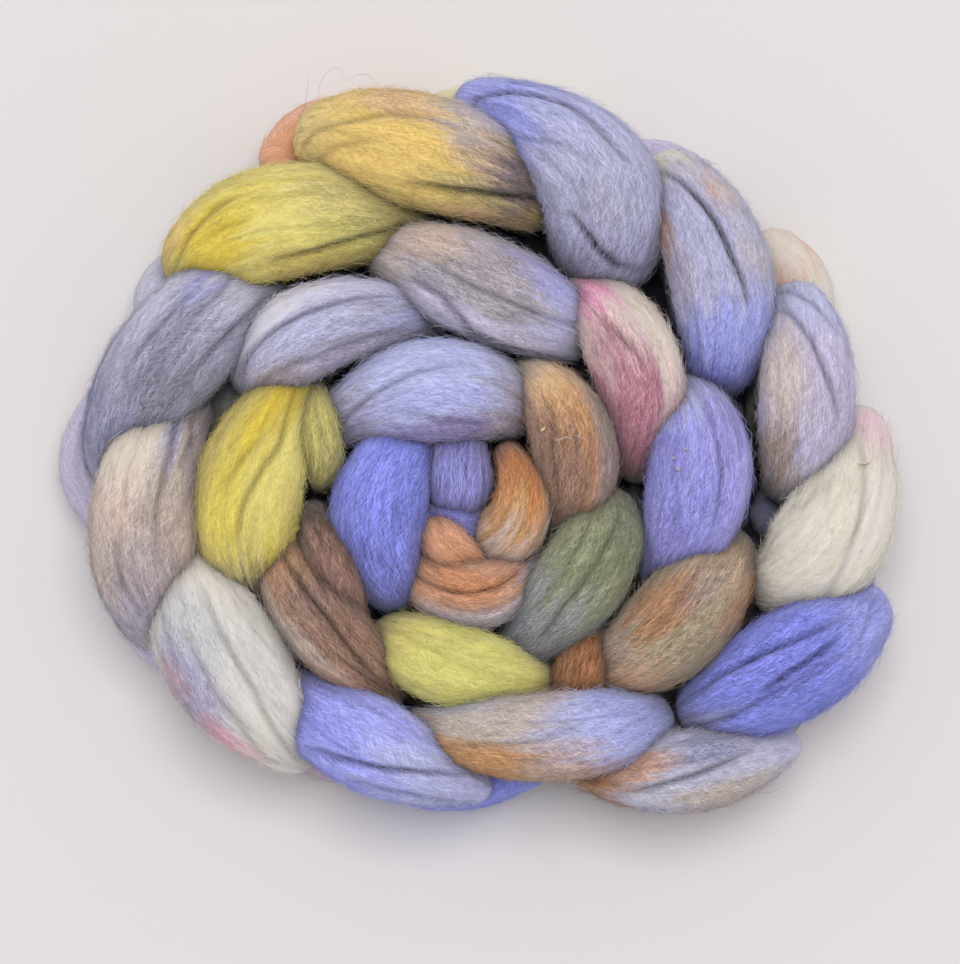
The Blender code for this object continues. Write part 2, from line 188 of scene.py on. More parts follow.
# Each leg's first dye covers it.  Each row after it is a patch: its dye, where it lies along the leg (0 at
# the outer end, 100 at the inner) and across it (100 outer side, 0 crest, -100 inner side), how far it
# reaches each way, and its strength where that isn't full, all in percent.
CHARTS = {
    "00": ["dusk", ("deep violet", 125, 0, 45, 200, 70)],
    "00b": ["deep violet", ("cornflower", 60, -80, 50, 70, 60)],
    "01": ["amber", ("orange", 5, 0, 42, 200, 95), ("shell tan", 120, 0, 34, 400),
        ("shell tan", 95, 95, 24, 60)],
    "02": ["clay", ("peach", 95, 30, 32, 120, 90), ("orange", 60, -25, 28, 50, 60),
        ("dove", 50, 95, 50, 35, 90), ("lavender", -4, 60, 18, 100, 90)],
    "02b": ["peach", ("orange", 20, -20, 40, 80, 20)],
    "03": ["cornflower", ("periwinkle", 95, 10, 30, 90, 80), ("bluebell", 10, 20, 36, 200, 90),
        ("delft", 10, 60, 24, 50, 80)],
    "04": ["sky lavender", ("lilac grey", -5, -20, 22, 120, 90), ("blue grey", 92, 30, 17, 120, 80),
        ("grape", 55, -90, 42, 42, 95), ("mauve", 106, -40, 18, 90, 80), ("violet", 45, -25, 30, 30, 40)],
    "05": ["chestnut", ("brown", 72, -50, 40, 80), ("cream", -3, 0, 12, 200), ("apricot", 15, 25, 17, 110),
        ("amber", 36, 20, 20, 60, 70), ("taupe", 60, 90, 40, 40, 90), ("mauve", -5, -80, 20, 30, 60),
        ("grey brown", 115, 10, 18, 200, 80)],
    "06": ["sage", ("moss", 30, 55, 25, 50, 80), ("pewter", 92, 0, 30, 200, 95),
        ("slate", 112, -20, 20, 200, 80)],
    "07": ["chartreuse", ("primrose", 0, 0, 18, 200, 90), ("pale lemon", 95, 0, 20, 120, 50)],
    "08": ["brown", ("copper", 95, 30, 22, 90, 80), ("stone", 45, 90, 42, 40, 80),
        ("copper", -10, 20, 14, 200, 90), ("copper", 14, 85, 20, 35, 70),
        ("grey brown", 60, -10, 16, 60, 35)],
    "08b": ["russet", ("cocoa", 95, 0, 36, 200)],
    "09": ["lemon", ("bright lemon", 86, 5, 22, 55), ("pale lemon", 50, -50, 36, 50),
        ("primrose", 76, -72, 22, 36, 90), ("mustard", 60, 92, 50, 30, 70), ("khaki", 2, 30, 18, 100, 90),
        # this patch makes the leg's outer end darker, on its inner side
        ("grey brown", -10, -50, 16, 100)],
    "09b": ["citron", ("olive", 20, -10, 42, 200)],
    "10": ["lilac blue", ("frost", 36, 72, 34, 42), ("lilac", -2, 40, 20, 80, 90),
        ("blue grey", 78, 5, 15, 40, 80), ("lavender", 102, -10, 16, 100, 80),
        ("mauve", 10, -60, 24, 45, 90), ("heather", 50, -92, 40, 35, 90),
        ("pale lavender", 66, 70, 20, 40, 90)],
    "11": ["dove", ("shell", -2, 10, 15, 120, 90), ("shell tan", 20, 45, 18, 50),
        ("lavender", 98, 15, 17, 140), ("lilac", 50, -80, 40, 35, 70),
        ("pale lavender", 112, -50, 14, 80, 90), ("mauve", 55, 30, 16, 45, 60),
        ("slate", 28, -35, 18, 25, 50), ("violet", 82, 60, 20, 40, 50)],
    "12": ["blush", ("pink", 3, -15, 15, 80), ("dusty pink", 30, -50, 15, 50, 90),
        ("rose", 74, -45, 34, 130), ("cream", 22, 85, 38, 42), ("deep rose", 102, 0, 20, 200, 90),
        ("russet", 116, 0, 13, 200, 60)],
    "13": ["deep violet", ("ice blue", 0, 10, 15, 200, 90), ("violet", 32, 55, 25, 70, 80),
        ("violet", 65, 85, 30, 35, 60), ("hyacinth", 110, 0, 16, 200, 80)],
    "14": ["fawn", ("caramel", 50, -50, 26, 50), ("caramel", 12, 85, 24, 40), ("sand", 5, -20, 24, 90),
        ("copper", 100, 50, 20, 55, 80), ("slate", 30, -10, 12, 30, 30), ("taupe", 92, -35, 14, 60, 60),
        ("caramel", 114, 40, 13, 70, 90)],
    "14b": ["ochre"],
    "15": ["stone", ("lavender", 12, -10, 34, 160), ("pale periwinkle", 5, -20, 26, 160, 45),
        ("amber", 76, 66, 32, 42), ("amber", 106, 35, 14, 120, 70), ("mauve", 42, 50, 14, 60, 70),
        ("amber", 30, 95, 16, 30, 50), ("mist", 88, -75, 24, 40, 80), ("shell", 62, -40, 20, 50, 30)],
    "16": ["iris", ("lavender", 16, 10, 30, 200, 95), ("deep violet", 106, -40, 18, 100, 90),
        ("periwinkle", 80, 20, 25, 90, 40)],
    "17": ["pearl", ("milk", 95, 0, 22, 200, 90), ("silver", 60, 35, 20, 50),
        ("lilac grey", 42, 72, 26, 36, 90), ("pink", 10, 100, 13, 32), ("dusty pink", 47, 85, 7, 20, 80),
        ("dusty pink", 20, 80, 10, 20, 40), ("milk", 2, -20, 24, 100, 90), ("silver", 35, -30, 20, 20, 40)],
    "18": ["stone", ("cream", 85, 45, 20, 75), ("cream", 66, 40, 10, 50, 60),
        ("shell tan", 52, 50, 13, 60, 80), ("lilac grey", 95, -25, 22, 24, 90),
        ("mauve", 15, -10, 24, 100, 70), ("mauve", 88, -90, 28, 34, 90), ("shell tan", 44, -80, 20, 30, 60),
        ("heather", -3, 30, 16, 120, 80)],
    "19": ["blue grey", ("deep violet", 86, 45, 14, 40, 90), ("mist", 58, 72, 25, 35),
        ("mist", 100, -15, 20, 70), ("slate", 34, -40, 20, 50), ("slate blue", 0, 30, 20, 160, 90),
        ("slate", 60, 10, 20, 15, 50)],
    "20": ["pale lemon", ("bright lemon", 12, -10, 23, 70, 90), ("primrose", 50, -10, 20, 30, 50),
        ("gold", -4, 70, 14, 60, 90), ("mustard", -14, 0, 9, 120, 80), ("khaki", 80, 20, 18, 90, 90),
        ("citron", 78, -50, 14, 50, 70), ("olive", 102, -10, 15, 150), ("mustard", 60, -95, 36, 28, 90),
        ("lemon", 35, 50, 20, 40, 50)],
    "21": ["gold", ("butter", -5, 20, 14, 120, 90), ("apricot", 36, 62, 18, 40), ("stone", 66, 55, 14, 45),
        ("lilac", 82, 85, 15, 35, 90), ("sand", 80, -10, 12, 70, 90), ("grey brown", 98, -10, 14, 90),
        ("olive", 72, -60, 14, 30, 60), ("apricot", 90, -100, 22, 30, 90),
        ("mustard", 45, -92, 25, 20, 60)],
    "22": ["lilac blue", ("pale periwinkle", -2, -10, 24, 160), ("lavender", 30, 50, 20, 60, 80),
        ("blue grey", 78, -10, 20, 60, 60), ("slate blue", 102, 30, 12, 120, 80),
        ("slate", 124, -30, 14, 140, 60), ("iris", -2, -60, 16, 50, 40)],
    "23": ["lilac blue", ("ivory", -12, -30, 13, 120), ("lilac", 5, 10, 10, 100, 80),
        ("shell tan", 17, 60, 10, 40), ("shell tan", 47, 70, 8, 35, 80), ("clay", 17, 40, 5, 16, 60),
        ("chestnut", 20, -95, 22, 24, 90), ("heather", 52, -78, 20, 35, 90),
        ("pale periwinkle", 90, 0, 20, 180, 90), ("bluebell", 114, -10, 16, 200, 90),
        ("mist", 36, 75, 16, 35, 70)],
    "24": ["lilac", ("ice blue", -3, 20, 18, 150, 80), ("shell", 42, -55, 32, 50),
        ("taupe", 84, -68, 24, 50), ("heather", 60, 30, 14, 50, 50), ("stone", 108, 0, 14, 150, 80),
        ("grey brown", 114, -70, 12, 40, 80)],
    "25": ["ivory", ("pale pink", -8, 0, 11, 120), ("shell", 7, -65, 10, 40, 90),
        ("milk", 35, 62, 26, 40, 80), ("shell tan", 44, 30, 24, 6, 60), ("dusty pink", 130, -20, 7, 90, 60),
        ("straw", 75, -30, 20, 50, 50)],
    "26": ["cornflower", ("pale periwinkle", 2, 10, 22, 200, 90), ("slate blue", 112, 50, 18, 80, 80),
        ("periwinkle", 85, 80, 20, 50, 70), ("delft", 60, 25, 24, 18, 60)],
    "27": ["mist", ("slate blue", 42, -50, 20, 45, 90), ("caramel", 100, 10, 19, 160),
        ("ochre", 100, -30, 14, 70, 60), ("clay", 78, -40, 15, 70, 90), ("stone", 34, 75, 26, 40, 90),
        ("pale lavender", -5, 20, 16, 120, 60)],
}

# The same for the legs underneath.  The others are slate.
UNDER_CHARTS = {
    "00": ["violet"], "01": ["fawn"], "05": ["cocoa"], "07": ["ochre"],
    "09": ["sage", ("mist", 30, 0, 40, 200, 70)], "12": ["mauve"], "14": ["cocoa"],
    "15": ["cornflower", ("periwinkle", 0, 0, 40, 200, 50)], "16": ["mauve"], "17": ["lilac"],
    "18": ["lilac", ("shell tan", 55, -30, 14, 150, 90)], "19": ["mist"], "20": ["terracotta"],
    "21": ["pale straw"], "22": ["lilac", ("mauve", 60, 0, 30, 200, 60)],
    "23": ["straw", ("khaki", 50, -40, 30, 50, 80), ("stone", 75, -50, 20, 90, 60),
        ("terracotta", 2, -20, 12, 200, 60)],
    "24": ["lavender"], "27": ["dove"],
}
UNDER_PAINTED_SHADE_SHARE = {"09": 0.45, "24": 0.7}  # share of the painted deep shade on the legs underneath that show from above

# ---- creases

# Creases of each leg: depth, then points (along, across) in percent, as in the dye charts.
CREASES = {
    "01": [(0.5, (11, 14), (46, 20), (90, 34))],
    "02": [(1.5, (13, -6), (48, -7), (86, 17), (108, 30)), (0.5, (29, 60), (65, 57), (91, 69))],
    "03": [(0.5, (-11, 7), (49, -49), (91, -12)), (0.4, (-11, 60), (23, 57), (60, 60))],
    "04": [(1.2, (-14, -73), (0, -17), (16, 5), (41, 29), (65, 46)), (0.8, (24, -31), (53, -69), (89, -74)),
        (0.7, (83, 15), (103, 7), (123, -34))],
    "05": [(0.9, (25, -20), (57, -64), (101, -27)), (0.7, (41, 51), (75, 29), (103, 30))],
    "06": [(1.2, (3, 30), (35, 15), (69, 9), (94, 31)), (0.9, (8, -43), (46, -44), (79, -38))],
    "07": [(0.5, (17, 19), (53, -1), (88, -25), (117, 10))],
    "08": [(1.7, (-13, -3), (10, 3), (46, -19), (79, 0), (107, 20)),
        (1.2, (-18, 11), (-7, 15), (5, 21), (21, 26), (36, 25))],
    "08b": [(0.8, (-5, 7), (31, 44), (64, 54))],
    "09": [(1.4, (20, 11), (43, -5), (70, -38), (106, -14)), (1, (42, 46), (60, 21), (77, -14)),
        (0.6, (-18, -33), (13, -16), (42, -29))],
    "10": [(1.5, (-4, 30), (9, 36), (32, 28), (54, 24), (80, 33)),
        (1, (1, -31), (42, -72), (76, -70), (93, -68))],
    "11": [(1.5, (19, -50), (38, -59), (57, -90), (80, -93), (101, -86)),
        (1.2, (23, 0), (38, -13), (62, -18), (91, -13), (119, 14))],
    "12": [(1.1, (19, -35), (36, -16), (52, 10))],
    "13": [(1, (-4, 23), (20, 24), (50, 35), (73, 47)), (0.8, (3, 72), (21, 72), (41, 66)),
        (0.6, (46, -65), (68, -32), (96, -21))],
    "14": [(0.6, (4, -46), (38, -26), (78, -7))],
    "15": [(0.7, (33, -21), (50, 13), (68, 31), (85, 42)), (0.5, (1, -6), (22, 11))],
    "16": [(1.8, (8, -26), (24, 0), (46, 39), (66, 62), (83, 79)), (1, (4, 76), (31, 74), (59, 89)),
        (0.5, (44, -65), (66, -72), (92, -60))],
    "17": [(1, (-19, 28), (-9, 28), (8, 6), (27, -15), (52, -19), (63, -21), (83, -22)),
        (1, (-13, 54), (-1, 76), (18, 48), (40, 42), (65, 32))],
    "18": [(1.3, (37, -36), (52, -33), (79, -36), (98, -18), (103, 24)),
        (1.1, (73, -61), (92, -67), (103, -42)), (0.9, (4, 18), (21, 39), (40, 40)),
        (0.7, (7, 0), (28, 22))],
    "19": [(1.3, (26, 33), (42, 37), (58, 34), (83, 42)), (1, (63, -2), (84, 8), (98, 33)),
        (1.4, (46, -63), (61, -63), (86, -56), (118, -40))],
    "20": [(1.3, (-9, -6), (11, 30), (27, 45), (36, 49)), (0.7, (15, 0), (27, 1), (40, -1)),
        (1.7, (41, -78), (62, -75), (80, -60), (95, -39), (106, 3)), (0.5, (43, 28), (62, 34), (82, 34))],
    "21": [(0.9, (-14, -98), (-5, -51), (3, -13), (36, 36), (51, 43), (71, 44)),
        (0.7, (-1, -90), (17, -39), (40, -8)), (2.4, (47, -74), (72, -60), (92, -43), (109, -14), (113, 7)),
        (0.8, (49, -96), (68, -104), (91, -102), (113, -61))],
    "22": [(1.9, (-8, -78), (-7, -15), (3, 34), (15, 49), (29, 57), (48, 47), (63, 50)),
        (2.3, (73, -70), (88, -42), (99, -11), (106, 34), (108, 89)), (1, (121, -52), (124, -1), (128, 53)),
        (0.7, (6, -70), (22, -51), (39, -17), (61, 5))],
    "23": [(2.3, (-4, -46), (7, -12), (21, 5), (32, 15), (48, 21), (61, 35), (72, 42)),
        (0.6, (68, -68), (97, -58), (119, -20))],
    "24": [(1.4, (1, -82), (10, -36), (26, 2), (49, 37), (67, 64)),
        (1, (-11, -84), (-7, -30), (4, 27), (23, 69)), (0.6, (57, -40), (86, -13), (108, -11))],
    "25": [(0.8, (2, -22), (14, 7), (38, 26), (58, 39), (79, 63), (89, 90)),
        (0.5, (83, -83), (110, -50), (127, 4))],
    "26": [(1.8, (25, 8), (39, 8), (62, 10), (76, 23)),
        (1.8, (18, -18), (40, -30), (63, -46), (88, -51), (123, -36)),
        (1.1, (58, 30), (73, 30), (93, 43), (114, 41), (124, 30)), (0.5, (-6, -6), (13, 26), (26, 66))],
    "27": [(1.6, (19, -26), (41, 0), (64, 26), (84, 55))],
}
CREASE_WIDTH = 1.0  # from its middle to where a third of the depth is left
CREASE_LINE_DEPTH = 0.9  # creases this deep get a painted shadow line, a thin dark strand, at the bottom
CREASE_LINE = 0.12  # half the line's thickness for each mm of depth
CREASE_SHADOW_LINE_SHADES = ((0.9, 1.8), (0.50, 0.18))  # painted shadow: how light the line is against the dye, by depth
# painted shade: how much darker the wool's colour is made along creases and folds, for each 2 mm of their
# depth
PAINTED_CREASE_SHADE = 0.72
FOLD = (48.0, 8.0, 0.42, 0.13)  # small folds: how long, how far apart, how deep, how sharp
FOLD_FADING = (30.0, 14.0, -0.3, 0.4)  # where they fade: length, width, and the noise from none to all

# ---- long hairs and tufts

# Dye, radius, then the points each one runs through.
STRAYS = [
    ("slate", 0.05, (-51, 84, 52), (-49, 92, 57), (-47.5, 99, 59), (-48.6, 104, 60)),
    ("slate", 0.05, (-44, 93, 58), (-43.5, 101, 60), (-39.5, 104.5, 60), (-37.5, 100, 59)),
    ("slate", 0.05, (-37.5, 100, 59), (-33.5, 102.5, 60), (-29.5, 101.6, 60), (-25, 96, 59)),
    ("slate", 0.05, (16, -88, 42), (22, -94.5, 36), (29, -95.5, 34), (33, -93, 36)),
    ("slate", 0.05, (-100, -28, 52), (-94, -31.5, 57), (-88, -31, 60), (-82, -34, 58)),
    ("slate", 0.05, (72, -92, 30), (79, -96.5, 26), (86, -95, 22), (90, -90, 20)),
    ("shell tan", 0.13, (20.2, 0.6, 59.6), (22.5, -0.6, 60.6), (24.5, 0.2, 60.7), (26, -1.4, 60)),
    ("shell tan", 0.1, (26, 0.8, 59.8), (28, 0.4, 60.2), (30, -0.6, 59.6), (31, -2, 59)),
    ("butter", 0.32, (17.4, 1.8, 58.4), (17.9, 2.4, 59), (18.4, 2.8, 59), (18.8, 3.4, 58.8)),
    ("mauve", 0.65, (54.6, -8.8, 59.4), (55.1, -8.5, 59.8), (55.6, -8.7, 59.8), (56, -8.4, 59.6)),
    ("mauve", 0.5, (57, -3.4, 59.6), (57.4, -3, 59.9), (57.8, -3.1, 59.9), (58.2, -2.8, 59.7)),
    ("mauve", 0.45, (53.6, -5.6, 58.6), (54, -5.4, 58.9), (54.4, -5.5, 58.9), (54.7, -5.2, 58.8)),
    ("caramel", 0.22, (104.5, -6.5, 56.5), (106.5, -7.2, 57.5), (108, -6.8, 56.8), (109, -5.6, 55.5)),
]

# ---- fibres and surface

RIDGES = ((30.0, 7.0, 0.80), (18.0, 2.6, 0.35), (9.0, 1.2, 0.14))  # length, width, height of each order
DYE_BLEED = 4.0  # how far one dye runs into the next
DYE_STREAK = (22.0, 0.9)  # length and width of the strands that it runs along
DYE_WOBBLES = ((14.0, 4.0, 0.35, 0), (9.0, 12.0, 0.175, 7))  # a patch's edge: length, number, height, seed
PATCH_EDGE = (0.55, 1.35)  # a patch fades between these shares of its reach
PAINTED_DEEP_SHADE = 0.92  # painted shade: how much darker the wool's colour is made deep between the legs
SHADE_HEIGHTS = (28.0, 51.0)  # all of it below the first height, none above the second
FOOT_HEIGHTS = (2.0, 12.0)  # and it fades out again toward the floor
RIM = (0.80, 0.94)  # and toward the rim, as a share of the coil's own size
PAINTED_CONTACT_SHADE = 0.7  # painted shade: how much darker the wool's colour is made where two legs touch
CONTACT_REACH = 1.3  # how far from the touch half of that is left
CONTACT_END = 4  # the shade ends this many times as far away

FUZZ_DENSITY = 0.78  # loose fibres for each square mm of a leg's upper side
UNDER_FUZZ_DENSITY = 0.08
FUZZ_SPREAD, UNDER_FUZZ_SPREAD = 1.55, 1.9  # how far round a leg they grow, in radians
EDGE_FUZZ = 8.0  # those that stand off its edges, for each mm of its length
EDGE_ANGLES = (0.8, 1.5)
EDGE_STOUTNESS = 1.4  # how much thicker those are
FUZZ_LENGTH = (2.5, 7.0)
FUZZ_RADIUS = (0.030, 0.065)
FUZZ_SLANT = 0.8  # how far they turn from the leg's own direction, in radians
FUZZ_CURL = 0.9  # how far one turns along its length
FUZZ_LIFT = (0.15, 0.75)  # how far most of them stand off the wool
FLYAWAY_SHARE = 0.36  # those with a free end, which stand off further
FLYAWAY_LIFT = (0.6, 2.8)
FUZZ_ROOT = 0.15  # how deep in the wool a fibre starts
FUZZ_TAPER = (1.0, 0.85, 0.0)  # how thick it is at its root, half way and at its tip
FUZZ_GROUPS = {"fuzz_inner": (0, 11), "fuzz_middle": (11, 18), "fuzz_left": (18, 23), "fuzz_right": (23, 28)}

LOCKS = (60.0, 500.0, 40.0)  # scale of the streaks of dye, along, across and from leg to leg
LOCK_EDGE = (0.34, 0.66)
LOCK_TONES = (0.1, 0.85)  # how much lighter they are, and the tone of the rest
FIBRES = (170.0, 2100.0, 40.0)  # scale of the fibres along the leg
FIBRE_EDGE = (0.36, 0.64)
FIBRE_CONTRAST = 0.4
CROSSINGS = ((0.35, 2700.0, 61.0), (-0.4, 2500.0, 83.0), (0.05, 3000.0, 37.0), (0.9, 2100.0, 19.0))
FIBRE_SLENDER = 20.0  # how much longer than thick the crossing ones are
FIBRE_WAVE = 1.6
HAIR_EDGE = (0.05, 0.005)  # how far from its middle line such a fibre fades in
DARK_WOOL = (0.85, 0.1)  # fibres stand out more on dark wool than on pale
GROUND_SHADE = 0.55  # partly painted shade: how much darker dark wool is between them
HAIR_TONES = (1.05, 1.04)  # partly painted light: how much brighter they are on dark wool, and their tone on pale
HAIR_BLEACH = 0.05  # how much of their dye they lack
RELIEF = (0.4, 0.6, 0.4 * MM)  # of the fibres along the leg, of the crossing ones, and their height


def linear(colour):
    """A 0 to 255 display colour as linear light."""
    value = np.asarray(colour, float) / 255.0
    return np.where(value <= 0.04045, value / 12.92, ((value + 0.055) / 1.055) ** 2.4)


def plan(x, y):
    """A point of a table as a flat vector."""
    return np.array((x, y, 0.0))


def unit(rows):
    """Vectors at a length of 1."""
    return rows / np.linalg.norm(rows, axis=-1, keepdims=True)


def smooth_noise(x, y, seed):
    """Smooth noise from -1 to 1 over the plane, about one bump for each unit square."""
    table = np.random.default_rng(seed).uniform(-1.0, 1.0, (256, 256))
    column, row = np.floor(x).astype(int), np.floor(y).astype(int)
    right, up = x - column, y - row
    right, up = right * right * (3 - 2 * right), up * up * (3 - 2 * up)
    near = table[row % 256, column % 256] * (1 - right) + table[row % 256, (column + 1) % 256] * right
    far = table[(row + 1) % 256, column % 256] * (1 - right)
    far += table[(row + 1) % 256, (column + 1) % 256] * right
    return near * (1 - up) + far * up


def smooth_step(low, high, value):
    """0 below low, 1 above high, with a smooth slope between them."""
    share = np.clip((value - low) / (high - low), 0.0, 1.0)
    return share * share * (3 - 2 * share)


def through_three(first, second, third, u):
    """The parabola that has these values at 0, a half and 1."""
    return first * (1 - u) * (1 - 2 * u) + second * 4 * u * (1 - u) + third * u * (2 * u - 1)


Leg = namedtuple("Leg", "outer middle inner widths crest", defaults=(None,))


def leg_span(leg):
    """A leg's length between its end points, and how far it runs past each of them as a share of it."""
    outer, middle, inner = plan(*leg.outer), plan(*leg.middle), plan(*leg.inner)
    length = np.linalg.norm(middle - outer) + np.linalg.norm(inner - middle)
    return length, leg.widths[0] * CAP / length, leg.widths[2] * CAP / length


def leg_section(leg, t):
    """Centre, half width, half height and place along the leg, 0 to 1 between its ends, for t 0 to 1."""
    before, after = leg_span(leg)[1:]
    u = -before + t * (1 + before + after)
    arch = np.sin(math.pi * t) ** ARCH
    closing = np.clip(1 - np.abs(2 * t - 1) ** BLUNTNESS, 0.0, 1.0) ** (1 / BLUNTNESS)
    full = max(leg.widths) / 2 * FLATNESS
    half_width = through_three(*leg.widths, np.clip(u, 0.0, 1.0)) / 2 * closing
    half_height = full * (TIP + (1 - TIP) * arch) * closing
    centre = through_three(*(plan(*point)[:, None] for point in leg[:3]), u).T
    height = leg.crest - full if leg.crest else full - SETTLE
    centre[:, 2] = WAIST + (height - WAIST) * arch
    return centre, half_width, half_height, u


def dyed(chart, u, v, length, seed):
    """The dye colour of points of a leg, in linear light."""
    colour = np.tile(linear(DYES[chart[0]]), (len(u), 1))
    for number, (dye, *spot) in enumerate(chart[1:]):
        along, across, reach_along, reach_across, strength = (percent / 100 for percent in (*spot, 100)[:5])
        wobble = sum(smooth_noise(u * length / long, v * many, seed + 31 * number + step) * high
                     for long, many, high, step in DYE_WOBBLES)
        reach = np.hypot((u - along) / reach_along, (v - across) / reach_across) + wobble
        share = strength * (1 - smooth_step(*PATCH_EDGE, reach))
        colour = colour + (linear(DYES[dye]) - colour) * share[:, None]
    return colour


def creases_of(name):
    """A leg's creases: for each its depth, and its points as shares of the leg's length and half width."""
    return [(depth, [(along / 100, across / 100) for along, across in points])
            for depth, *points in CREASES.get(name, [])]


def crease_depth(creases, u, v, length, half_width):
    """How deep the creases of a leg cut at its points.  Each runs out at both its ends."""
    depth = np.zeros(len(u))
    for deepest, points in creases:
        for number, (first, second) in enumerate(zip(points, points[1:])):
            along, across = (second[0] - first[0]) * length, (second[1] - first[1]) * half_width
            past, beside = (u - first[0]) * length, (v - first[1]) * half_width
            share = np.clip((past * along + beside * across) / (along * along + across * across), 0.0, 1.0)
            away = np.hypot(past - share * along, beside - share * across)
            ending = np.sin(math.pi * (number + share) / (len(points) - 1)).clip(0.0) ** 0.5
            depth = np.maximum(depth, deepest * np.exp(-(away / CREASE_WIDTH) ** 2) * ending)
    return depth


def fold_depth(along, girth, seed):
    """How deep the small folds between the strands of a leg cut at its points."""
    long, apart, deep, sharp = FOLD
    side = np.abs(smooth_noise(along / long, girth / apart, seed + 77))
    long, wide, low, high = FOLD_FADING
    fading = smooth_step(low, high, smooth_noise(along / long, girth / wide, seed + 78))
    return deep * (1 - smooth_step(0.0, sharp, side)) * fading


Surface = namedtuple("Surface", "place normal across u v girth depth")


def leg_surface(leg, creases, seed, t, angle):
    """The surface of a leg at t along it (0 to 1) and angle around it (0 along its upper or lower side)."""
    side = 1 if leg.crest else -1
    centre, half_width, half_height, u = leg_section(leg, t)
    tangent = leg_section(leg, np.minimum(t + TANGENT_STEP, 1.0))[0]
    tangent = unit(tangent - leg_section(leg, np.maximum(t - TANGENT_STEP, 0.0))[0])
    across = unit(np.stack((-tangent[:, 1], tangent[:, 0], np.zeros(len(t))), axis=1))
    up = np.cross(tangent, across) * side
    sine, cosine = np.sin(angle), np.cos(angle)
    round_off = (np.abs(sine) ** ROUNDNESS + np.abs(cosine) ** ROUNDNESS) ** (-1 / ROUNDNESS)
    half_height = np.where(cosine < 0, half_height * BACK_FULLNESS, half_height)
    v = np.where(cosine >= 0, sine, np.sign(sine) * (2 - np.abs(sine)))
    girth = angle * max(leg.widths) / 2
    length = leg_span(leg)[0]
    normal = across * (sine / half_width.clip(0.5))[:, None]
    normal = unit(normal + up * (cosine / half_height.clip(0.5))[:, None])
    creased = crease_depth(creases, u, v, length, half_width.clip(1.0))
    depth = np.maximum(creased, fold_depth(u * length, girth, seed))
    relief = -depth
    for order, (long, wide, high) in enumerate(RIDGES):
        relief = relief + high * smooth_noise(u * length / long, girth / wide, seed + 101 * order)
    relief = relief * np.sin(math.pi * t) ** 0.5
    place = centre + across * (half_width * sine * round_off)[:, None]
    place += up * (half_height * cosine * round_off)[:, None] + normal * relief[:, None]
    return Surface(place, normal, across * side, u, v, girth, depth)


def painted_shade_mask(place):
    """Where the painted shade falls deep between the legs, 0 to 1: low down and away from the coil's rim."""
    low = 1 - smooth_step(*SHADE_HEIGHTS, place[:, 2])
    rim = smooth_step(*RIM, np.hypot(place[:, 0] / COIL_REACH[0], place[:, 1] / COIL_REACH[1]))
    return low * (1 - rim) * smooth_step(*FOOT_HEIGHTS, place[:, 2])


# ---- meshes


def vertices_of(mesh):
    """A mesh's vertices, a row for each."""
    place = np.empty(len(mesh.vertices) * 3)
    mesh.vertices.foreach_get("co", place)
    return place.reshape(-1, 3)


def new_ball(name, segments, rings):
    """A ball of radius 1: the piece, its vertices, and how far along from pole to pole each lies, 0 to 1."""
    bpy.ops.mesh.primitive_uv_sphere_add(segments=segments, ring_count=rings, radius=1.0)
    piece = bpy.context.object
    piece.name = name
    ball = vertices_of(piece.data)
    return piece, ball, np.arccos(np.clip(ball[:, 2], -1.0, 1.0)) / math.pi


def finish(piece, place, material, **values):
    """Move a piece's vertices to their places, and give it its values, its map's name and its material."""
    mesh = piece.data
    mesh.vertices.foreach_set("co", (place * MM).ravel())
    for name, value in values.items():
        kind, field = ("FLOAT", "value") if value.ndim == 1 else ("FLOAT_VECTOR", "vector")
        if name.startswith("dye"):
            kind, field = "FLOAT_COLOR", "color"
            value = np.column_stack((value, np.ones(len(value))))
        data = mesh.attributes.new(name, kind, "POINT").data
        data.foreach_set(field, np.ascontiguousarray(value, "f").ravel())
    mesh.uv_layers[0].name = "OFBake"
    mesh.shade_smooth()
    mesh.materials.append(material)
    return piece


def joined(name, parts):
    """Several objects made one."""
    bpy.ops.object.select_all(action="DESELECT")
    for part in parts:
        part.select_set(True)
    bpy.context.view_layer.objects.active = parts[0]
    bpy.ops.object.join()
    parts[0].name = name
    return parts[0]


def make_leg(name, leg, chart, creases, seed, painted_shade_share, map_band):
    """One leg of a stitch.  The last two arguments: its share of the painted deep shade, and its rows of the
    stitch's map.
    """
    piece, ball, t = new_ball(name, *(OVER_BALL if name.startswith("over") else UNDER_BALL))
    angle = np.arctan2(ball[:, 1], ball[:, 0])
    skin = leg_surface(leg, creases, seed, t, angle - CREST_CROWDING * np.sin(angle))
    place = skin.place.copy()
    place[:, 2] = np.maximum(place[:, 2], 0.0)

    length = leg_span(leg)[0]
    long, wide = DYE_STREAK
    streak = smooth_noise(skin.u * length / long, skin.girth / wide, seed + 5) * DYE_BLEED / length
    near, far = (dyed(chart, skin.u + streak + shift * DYE_BLEED / length, skin.v, length, seed)
                 for shift in (-0.5, 0.5))
    lie = np.column_stack((skin.u * length * MM, skin.girth * MM, np.full(len(t), seed * 0.37 % 1.0)))

    own_map = piece.data.uv_layers[0]
    spots = np.empty(len(piece.data.loops) * 2, "f")
    own_map.data.foreach_get("uv", spots)
    spots[1::2] = map_band[0] + spots[1::2] * (map_band[1] - map_band[0])
    own_map.data.foreach_set("uv", spots)
    if not leg.crest:
        piece.data.flip_normals()
    # painted shade: the crease values darken the wool's colour along creases and folds
    return finish(piece, place, WOOL, dye_near=near, dye_far=far, lie=lie, crease=skin.depth / 2.0,
                  # painted shade: the deep values darken the wool's colour deep between the legs
                  deep=painted_shade_mask(place) * painted_shade_share)


